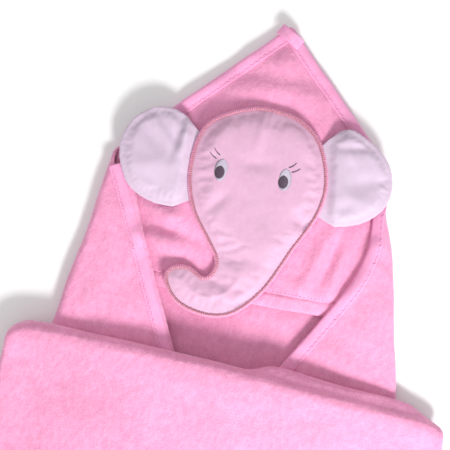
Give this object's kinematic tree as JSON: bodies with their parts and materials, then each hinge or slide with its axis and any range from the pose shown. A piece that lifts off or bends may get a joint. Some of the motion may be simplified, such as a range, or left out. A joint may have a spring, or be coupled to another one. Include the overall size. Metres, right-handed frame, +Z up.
{
  "type": "hooded baby towel",
  "caption": "Square hooded baby towel folded for carrying, its hood corner carrying a padded elephant face with loose ears, its lower half folded up over side flaps.",
  "frame": {"origin": "on the surface it lies on, under the middle of the folded towel's box", "axes": "+Y towards the hood's tip, +Z up out of the face side, +X to the right seen from above"},
  "size_m": [0.424, 0.598, 0.034],
  "materials": {
    "towelling": "soft cotton velour with a short brushed pile",
    "binding": "matt folded jersey tape",
    "face_fabric": "smooth fine plush, paler than the towel",
    "edge_thread": "dense salmon-pink overlock thread",
    "ear_fabric": "smooth white woven cotton",
    "wadding": "polyester wadding, hidden",
    "white_embroidery": "white satin stitch",
    "plum_embroidery": "dark plum satin stitch"
  },
  "bodies": {
    "towel": {"back_panel": "towelling", "left_flap": "towelling", "right_flap": "towelling", "hood_panel": "towelling", "hood_front_band": "towelling", "hood_binding": "binding", "left_flap_binding": "binding", "right_flap_binding": "binding", "hood_tip_tail": "binding", "head_front": "face_fabric", "head_back": "face_fabric", "head_wadding": "wadding", "head_edge": "edge_thread", "left_eye_white": "white_embroidery", "right_eye_white": "white_embroidery", "left_pupil": "plum_embroidery", "right_pupil": "plum_embroidery", "left_lash_outer": "plum_embroidery", "left_lash_inner": "plum_embroidery", "right_lash_inner": "plum_embroidery", "right_lash_outer": "plum_embroidery"},
    "left_ear": {"left_ear_front": "ear_fabric", "left_ear_back": "ear_fabric", "left_ear_wadding": "wadding"},
    "right_ear": {"right_ear_front": "ear_fabric", "right_ear_back": "ear_fabric", "right_ear_wadding": "wadding"},
    "lower_fold": {"lower_fold_cover": "towelling", "lower_left_flap": "towelling", "lower_right_flap": "towelling"}
  },
  "joints": [
    {"name": "left_ear_hinge", "type": "hinge", "parent": "towel", "child": "left_ear", "pos_m": [-0.069, 0.15744, 0.0203], "axis": [0, 1, 0], "range_deg": [0, 120]},
    {"name": "right_ear_hinge", "type": "hinge", "parent": "towel", "child": "right_ear", "pos_m": [0.059, 0.16344, 0.0203], "axis": [0.132, -0.9912, 0], "range_deg": [0, 120]},
    {"name": "lower_fold_hinge", "type": "hinge", "parent": "towel", "child": "lower_fold", "pos_m": [0, -0.30635, 0.017], "axis": [1, 0, 0], "range_deg": [0, 176]}
  ]
}
